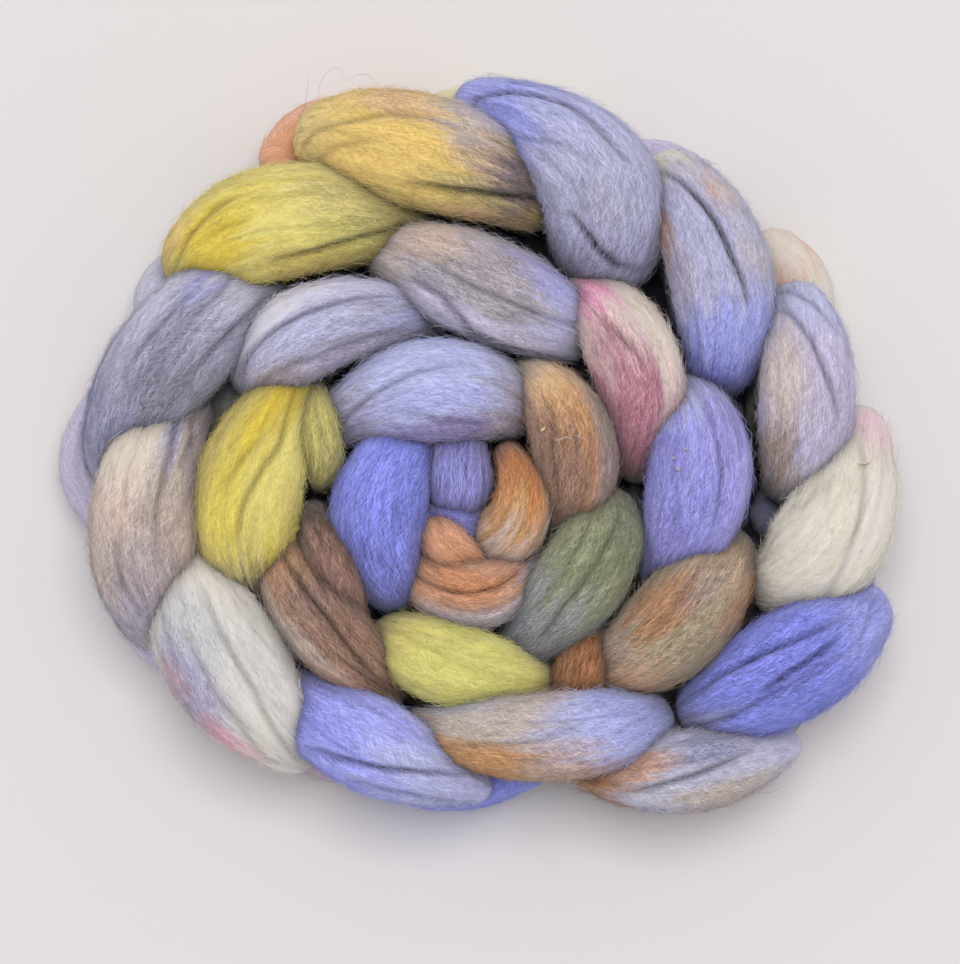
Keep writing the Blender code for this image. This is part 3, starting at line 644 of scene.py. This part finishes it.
def paint_contact_shade(legs):
    """Paint shade on each leg where another one lies against it, into its deep values."""
    places = [vertices_of(leg.data) for leg in legs]
    trees = [BVHTree.FromPolygons(place.tolist(), [face.vertices[:] for face in leg.data.polygons])
             for leg, place in zip(legs, places)]
    reach = CONTACT_REACH * CONTACT_END * MM
    for leg, place in zip(legs, places):
        gap = np.full(len(place), reach)
        for other, tree in zip(places, trees):
            if other is place:
                continue
            low, high = other.min(axis=0) - reach, other.max(axis=0) + reach
            for vertex in np.flatnonzero(np.all((place > low) & (place < high), axis=1)):
                found = tree.find_nearest(place[vertex], reach)
                if found[0] is not None:
                    inside = (Vector(place[vertex]) - found[0]).dot(found[1]) < 0
                    gap[vertex] = 0.0 if inside else min(gap[vertex], found[3])
        touch = PAINTED_CONTACT_SHADE * 0.5 ** (gap / (CONTACT_REACH * MM)) * (gap < reach)
        deep = np.empty(len(place), "f")
        values = leg.data.attributes["deep"].data
        values.foreach_get("value", deep)
        values.foreach_set("value", (1 - (1 - deep) * (1 - touch)).astype("f"))


def make_crease_shadow_line(leg, chart, creases, seed, depth, points):
    """A painted shadow line at the bottom of a crease: a thin strand of the dye, darkened by the crease's
    depth.
    """
    piece, ball, along = new_ball("line", *LINE_BALL)
    stops = np.linspace(0.0, 1.0, len(points))
    u, v = (np.interp(along, stops, values) for values in zip(*points))
    length, before, after = leg_span(leg)
    t = np.clip((u + before) / (1 + before + after), 0.03, 0.97)
    skin = leg_surface(leg, creases, seed, t, np.arcsin(np.clip(v, -0.98, 0.98)))
    thick = CREASE_LINE * depth * (1 + 0.5 * smooth_noise(along * 9.0, v * 0, seed))
    place = skin.place + skin.across * (ball[:, 0] * thick)[:, None]
    place += skin.normal * (ball[:, 1] * thick * 0.6)[:, None]
    # painted shadow: the dye darkened by the crease's depth
    colour = dyed(chart, skin.u, skin.v, length, seed) * np.interp(depth, *CREASE_SHADOW_LINE_SHADES)
    return finish(piece, place, FUZZ, dye_near=colour, tone=np.zeros(len(along)))


def under_leg(leg, following):
    """The leg underneath, which lies between a stitch's leg on top and the next one's."""
    points = [(plan(*first) + plan(*second)) / 2 for first, second in zip(leg[:3], following[:3])]
    shift = unit(points[1] - plan(*COIL_CENTRE)) * UNDER_SPREAD + plan(*UNDER_LEAN)
    widths = tuple((first + second) / 2 for first, second in zip(leg.widths, following.widths))
    return Leg(*(tuple((point + shift)[:2]) for point in points), widths)


def fibre_stock(name, count):
    """A piece of many fibres: each a three-sided needle with a joint half way, all still the same."""
    bpy.ops.mesh.primitive_cone_add(vertices=3, radius1=1.0, radius2=0.0, depth=1.0, location=(0, 0, 0.5))
    piece = bpy.context.object
    piece.name = name
    bpy.ops.object.mode_set(mode="EDIT")
    bpy.ops.mesh.select_all(action="SELECT")
    bpy.ops.mesh.bisect(plane_co=(0.0, 0.0, 0.5), plane_no=(0.0, 0.0, 1.0))
    bpy.ops.object.mode_set(mode="OBJECT")
    bpy.ops.object.transform_apply(location=True, rotation=True, scale=True)
    copies = piece.modifiers.new("copies", "ARRAY")
    copies.count = count
    copies.use_relative_offset = False
    bpy.ops.object.modifier_apply(modifier=copies.name)
    return piece


def fuzz_on(leg, chart, creases, seed, painted_shade_share):
    """Lines (root, middle and tip), colours with painted deep shade, radii and tones of the loose fibres on
    a leg.
    """
    draw = np.random.default_rng(seed + FUZZ_SEED)
    length = leg_span(leg)[0]
    density, spread = (FUZZ_DENSITY, FUZZ_SPREAD) if leg.crest else (UNDER_FUZZ_DENSITY, UNDER_FUZZ_SPREAD)
    on_skin = int(density * length * max(leg.widths) * spread)
    count = on_skin + (int(EDGE_FUZZ * length) if leg.crest else 0)
    edge = np.arange(count) >= on_skin
    reach = draw.uniform(*FUZZ_LENGTH, count)
    slant = draw.normal(0.0, FUZZ_SLANT, count) + math.pi * (draw.random(count) < 0.5)
    curl = draw.normal(0.0, FUZZ_CURL, count)
    free = edge | (draw.random(count) < FLYAWAY_SHARE)
    lift = np.where(free, draw.uniform(*FLYAWAY_LIFT, count), draw.uniform(*FUZZ_LIFT, count))
    t, angle = draw.uniform(0.06, 0.94, count), draw.uniform(-spread, spread, count)
    angle = np.where(edge, np.sign(angle) * draw.uniform(*EDGE_ANGLES, count), angle)
    line = []
    for step, share, way in ((0.0, 0.0, slant), (0.5, 0.5, slant), (1.0, 0.5, slant + curl)):
        t = np.clip(t + np.cos(way) * reach * share / length, 0.02, 0.98)
        angle = angle + np.sin(way) * reach * share / (max(leg.widths) / 2)
        skin = leg_surface(leg, creases, seed, t, angle)
        height = np.where(free, lift * step ** 1.4, lift * 4 * step * (1 - step)) - FUZZ_ROOT * (1 - step)
        line.append(skin.place + skin.normal * height[:, None])
        if step == 0.0:
            colour = dyed(chart, skin.u, skin.v, length, seed)
            # painted shade: the loose fibres' colour darkened deep between the legs
            colour *= (1 - PAINTED_DEEP_SHADE * painted_shade_share * painted_shade_mask(skin.place))[:, None]
    radius = draw.uniform(*FUZZ_RADIUS, count) * np.where(edge, EDGE_STOUTNESS, 1.0)
    return np.stack(line, axis=1), colour, radius, draw.random(count)


def make_fuzz(name, fuzz):
    """One piece of loose fibres along the given lines."""
    line, colour, radius, tone = (np.concatenate(values) for values in zip(*fuzz))
    count = len(line)
    piece = fibre_stock(name, count)
    stock = vertices_of(piece.data).reshape(count, -1, 3)
    stop = np.rint(stock[:, :, 2] * 2).astype(int)  # 0 at the root, 1 half way, 2 at the tip
    turn = np.arctan2(stock[:, :, 1], stock[:, :, 0])
    thick = np.choose(stop, FUZZ_TAPER) * radius[:, None]
    root, middle, tip = line[:, 0], line[:, 1], line[:, 2]
    way = unit(np.stack((middle - root, tip - root, tip - middle), axis=1))
    side = unit(np.cross(way, (0.31, 0.17, 0.93)))
    top = np.cross(way, side)
    row = np.arange(count)[:, None]
    place = line[row, stop] + side[row, stop] * (np.cos(turn) * thick)[:, :, None]
    place += top[row, stop] * (np.sin(turn) * thick)[:, :, None]
    place[:, :, 2] = np.maximum(place[:, :, 2], 0.0)
    place = place.reshape(-1, 3)

    corners = np.empty(len(piece.data.loops), "i")
    piece.data.loops.foreach_get("vertex_index", corners)
    low, high = (np.array(corner[:2]) for corner in cad_box)
    spots = 0.04 + 0.92 * (place[:, :2] * MM - low) / (high - low)
    piece.data.uv_layers[0].data.foreach_set("uv", spots[corners].astype("f").ravel())
    each = stock.shape[1]
    return finish(piece, place, FUZZ, dye_near=np.repeat(colour, each, axis=0), tone=np.repeat(tone, each))


def make_stray(dye, radius, *points):
    """One long loose hair or tuft through the given points."""
    piece, ball, along = new_ball("stray", *STRAY_BALL)
    fit = np.polynomial.polynomial
    through = fit.polyfit(np.linspace(0.0, 1.0, len(points)), np.array(points), len(points) - 1)
    place = fit.polyval(along, through).T + ball * radius
    colour = np.tile(linear(DYES[dye]), (len(along), 1))
    return finish(piece, place, FUZZ, dye_near=colour, tone=np.full(len(along), 0.5))


def make_core():
    """The wool deep inside the coil, which closes the gaps between the legs.  Its dark slate is partly
    painted shade, and its deep values paint more shade on it.
    """
    piece, ball, _ = new_ball("core", *CORE_BALL)
    around = np.arctan2(ball[:, 1], ball[:, 0])
    outward = np.hypot(ball[:, 0], ball[:, 1])
    spread = outward * (1 + sum(high * np.sin(many * around + start) for high, many, start in CORE_LOBES))
    low, high = CORE_HEIGHTS
    rise = (low + high) / 2 + (high - low) / 2 * np.sign(ball[:, 2]) * np.abs(ball[:, 2]) ** CORE_BLUNTNESS
    bump, rings, rays = CORE_BUMPS
    rise += bump * smooth_noise(outward * rings, around * rays, 5)
    wide, deep = CORE_REACH
    place = np.column_stack((spread * wide * np.cos(around), spread * deep * np.sin(around), rise))
    # partly painted shade: dark slate for the hidden wool, darkened further by the deep values
    colour = np.tile(linear(DYES["slate"]), (len(ball), 1))
    return finish(piece, place, WOOL, dye_near=colour, dye_far=colour * 0.8,
                  lie=np.column_stack((around * 60 * MM, spread * 80 * MM, rise * MM)),
                  crease=np.zeros(len(ball)), deep=painted_shade_mask(place))


# ---- materials


def new_material(name, values):
    """A material with fixed values on its shader: the material, its node tree and the shader."""
    material = bpy.data.materials.new(name)
    material.use_nodes = True
    shader = material.node_tree.nodes["Principled BSDF"]
    for socket, value in values.items():
        shader.inputs[socket].default_value = value
    return material, material.node_tree, shader


def node(tree, kind, inputs, **settings):
    """Add a node with its settings, its inputs fixed or taken from other nodes."""
    made = tree.nodes.new("ShaderNode" + kind)
    for name, value in settings.items():
        setattr(made, name, value)
    for name, value in inputs.items():
        if isinstance(value, bpy.types.NodeSocket):
            tree.links.new(value, made.inputs[name])
        else:
            made.inputs[name].default_value = value
    return made


def carried(tree, name, output="Fac"):
    """A value that the mesh carries at its points."""
    return node(tree, "Attribute", {}, attribute_name=name).outputs[output]


def streaks(tree, vector, scale, turn, detail=2.0, warp=0.0):
    """Noise drawn out along the fibres, from 0 to 1."""
    turned = node(tree, "Mapping", {"Rotation": (0.0, 0.0, turn), "Vector": vector})
    drawn = node(tree, "Mapping", {"Scale": scale, "Vector": turned.outputs["Vector"]})
    pattern = {"Scale": 1.0, "Detail": detail, "Roughness": 0.6, "Distortion": warp}
    return node(tree, "TexNoise", {**pattern, "Vector": drawn.outputs["Vector"]}).outputs["Fac"]


def maths(tree, operation, *values):
    """A Math node on sockets or numbers."""
    return node(tree, "Math", dict(enumerate(values)), operation=operation).outputs[0]


def between(tree, value, low, high):
    """0 where a value is at most low, 1 where it is at least high."""
    inputs = {"Value": value, "From Min": low, "From Max": high}
    return node(tree, "MapRange", inputs).outputs["Result"]


def mixed(tree, share, first, second):
    """A mix of two colours."""
    made = node(tree, "Mix", {"Factor": share, 6: first, 7: second}, data_type="RGBA")
    return made.outputs[2]


def shaded(tree, colour, tone):
    """A colour scaled by a number."""
    return node(tree, "VectorMath", {0: colour, "Scale": tone}, operation="SCALE").outputs[0]


def wool_material():
    """Matt combed wool: dyes that run along the fibres, pale fibres crossing over them and a soft sheen,
    with shade painted along creases, deep between the legs and where legs touch.
    """
    material, tree, shader = new_material("combed_wool", {
        "Roughness": 0.95, "Specular IOR Level": 0.15, "Sheen Weight": 0.28, "Sheen Roughness": 0.4})
    lie = carried(tree, "lie", "Vector")
    locks = between(tree, streaks(tree, lie, LOCKS, 0.03), *LOCK_EDGE)
    fibres = between(tree, streaks(tree, lie, FIBRES, -0.05, 3.0, 1.0), *FIBRE_EDGE)
    hairs = None
    for turn, across, seed in CROSSINGS:
        field = streaks(tree, lie, (across / FIBRE_SLENDER, across, seed), turn, 1.0, FIBRE_WAVE)
        line = maths(tree, "ABSOLUTE", maths(tree, "SUBTRACT", field, 0.5))
        line = between(tree, line, *HAIR_EDGE)
        hairs = line if hairs is None else maths(tree, "MAXIMUM", hairs, line)

    dye = mixed(tree, locks, carried(tree, "dye_near", "Color"), carried(tree, "dye_far", "Color"))
    grey = node(tree, "RGBToBW", {"Color": dye})
    dark = between(tree, grey.outputs["Val"], *DARK_WOOL)
    tone = maths(tree, "MULTIPLY_ADD", locks, *LOCK_TONES)
    contrast = maths(tree, "MULTIPLY", dark, FIBRE_CONTRAST)
    tone = maths(tree, "MULTIPLY_ADD", maths(tree, "SUBTRACT", fibres, 0.5), contrast, tone)
    # painted shade along creases and folds, from the crease values
    tone = maths(tree, "MULTIPLY_ADD", carried(tree, "crease"), -PAINTED_CREASE_SHADE, tone)
    # painted shade deep between the legs and where legs touch, from the deep values
    depth = maths(tree, "MULTIPLY_ADD", carried(tree, "deep"), -PAINTED_DEEP_SHADE, 1.0)
    tone = maths(tree, "MULTIPLY", tone, depth)
    # pale fibres over a darker ground: partly the fibres' own colour, partly painted light and shade at
    # fibre scale
    ground = shaded(tree, dye, maths(tree, "MULTIPLY_ADD", dark, -GROUND_SHADE, 1.0))
    pale = mixed(tree, HAIR_BLEACH, dye, (1.0, 1.0, 1.0, 1.0))
    pale = shaded(tree, pale, maths(tree, "MULTIPLY_ADD", dark, *HAIR_TONES))
    tree.links.new(shaded(tree, mixed(tree, hairs, ground, pale), tone), shader.inputs["Base Color"])

    along, crossing, high = RELIEF
    height = maths(tree, "MULTIPLY_ADD", fibres, along, maths(tree, "MULTIPLY", hairs, crossing))
    bump = node(tree, "Bump", {"Strength": 0.4, "Distance": high, "Height": height})
    tree.links.new(bump.outputs["Normal"], shader.inputs["Normal"])
    return material


def fuzz_material():
    """Loose fibres: the wool's dye, paler, each of its own tone."""
    material, tree, shader = new_material("loose_fibres", {
        "Roughness": 0.75, "Specular IOR Level": 0.3, "Sheen Weight": 0.2})
    dye = carried(tree, "dye_near", "Color")
    paler = node(tree, "Gamma", {"Gamma": 0.65, "Color": dye})
    colour = mixed(tree, carried(tree, "tone"), dye, paler.outputs["Color"])
    tree.links.new(colour, shader.inputs["Base Color"])
    return material


WOOL = wool_material()
FUZZ = fuzz_material()

# ---- the hank

names = list(OVER)
stitches, fuzz, lines = [], [], []
for number, name in enumerate(names):
    leg, creases = Leg(*OVER[name]), creases_of(name)
    over = (leg, CHARTS[name], creases, OVER_SEED + number)
    following = Leg(*OVER[names[min(number + 1, len(names) - 1)]])
    below = Leg(*UNDER[name]) if name in UNDER else under_leg(leg, following)
    under = (below, UNDER_CHARTS.get(name, ["slate"]), [], UNDER_SEED + number, UNDER_PAINTED_SHADE_SHARE.get(name, 1.0))
    parts = [make_leg("over_" + name, *over, 1.0, OVER_MAP), make_leg("under_" + name, *under, UNDER_MAP)]
    # painted shadow lines along the deeper creases
    lines += [make_crease_shadow_line(*over, *crease) for crease in creases if crease[0] >= CREASE_LINE_DEPTH]
    loose = [fuzz_on(*over, 1.0), fuzz_on(*under)]
    if name + "b" in SLIPS:
        slip_name = name + "b"
        slip = (Leg(*SLIPS[slip_name]), CHARTS[slip_name], creases_of(slip_name), SLIP_SEED + number, 1.0)
        parts.append(make_leg("slip_" + slip_name, *slip, SLIP_MAP))
        loose.append(fuzz_on(*slip))
    stitches.append(parts)
    fuzz.append(loose)
# painted shade where the legs touch
paint_contact_shade([leg for parts in stitches for leg in parts])
pieces = [joined("stitch_" + name, parts) for name, parts in zip(names, stitches)]
for name, (first, end) in FUZZ_GROUPS.items():
    pieces.append(make_fuzz(name, [part for loose in fuzz[first:end] for part in loose]))
pieces.append(make_core())
pieces.append(joined("crease_shadow_lines", lines))
pieces.append(joined("strays", [make_stray(*stray) for stray in STRAYS]))

for piece in pieces:
    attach(piece, "root")
    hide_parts("roving")

# ---- floor, light and camera

FLOOR_SIZE = 6.0
FLOOR_DROP = 0.2 * MM
FLOOR_COLOUR = (227, 223, 222)
WINDOW_PLACE, WINDOW_AIM = Vector((0.06, 0.17, 1.7)), Vector((0.0, 0.0, 0.03))
WINDOW_SIZE, WINDOW_WATTS, WINDOW_COLOUR = 0.75, 14.6, (1.0, 0.985, 0.97)
ROOM_COLOUR, ROOM_STRENGTH = (0.97, 0.975, 1.0, 1.0), 0.58
CAMERA_ELEVATION = math.radians(83.0)
CAMERA_DISTANCE = 0.95
FRAME_WIDTH = 268.8 * MM  # what the frame takes in at the aim's distance
AIM = Vector((0.7, -10.4, 45.0)) * MM

bpy.ops.mesh.primitive_plane_add(size=FLOOR_SIZE, location=(0.0, 0.0, -FLOOR_DROP))
floor = bpy.context.object
floor.name = "floor"
paper = {"Base Color": (*linear(FLOOR_COLOUR), 1.0), "Roughness": 0.9}
floor.data.materials.append(new_material("pale_paper", paper)[0])


def facing(thing, place, toward):
    """Put a light or camera at a place, turned toward a point, and into the scene."""
    thing.location = place
    thing.rotation_euler = (toward - place).to_track_quat("-Z", "Y").to_euler()
    bpy.context.scene.collection.objects.link(thing)


softbox = bpy.data.lights.new("window", "AREA")
softbox.size = WINDOW_SIZE
softbox.energy = WINDOW_WATTS
softbox.color = WINDOW_COLOUR
facing(bpy.data.objects.new("window", softbox), WINDOW_PLACE, WINDOW_AIM)

world = bpy.data.worlds.new("room")
world.use_nodes = True
room = world.node_tree.nodes["Background"]
room.inputs["Color"].default_value = ROOM_COLOUR
room.inputs["Strength"].default_value = ROOM_STRENGTH
bpy.context.scene.world = world
bpy.context.scene.view_settings.view_transform = "Standard"

camera_data = bpy.data.cameras.new("camera")
camera_data.sensor_fit = "HORIZONTAL"
camera_data.lens = camera_data.sensor_width * CAMERA_DISTANCE / FRAME_WIDTH
camera = bpy.data.objects.new("camera", camera_data)
back = Vector((0.0, -math.cos(CAMERA_ELEVATION), math.sin(CAMERA_ELEVATION)))
facing(camera, AIM + back * CAMERA_DISTANCE, AIM)
bpy.context.scene.camera = camera
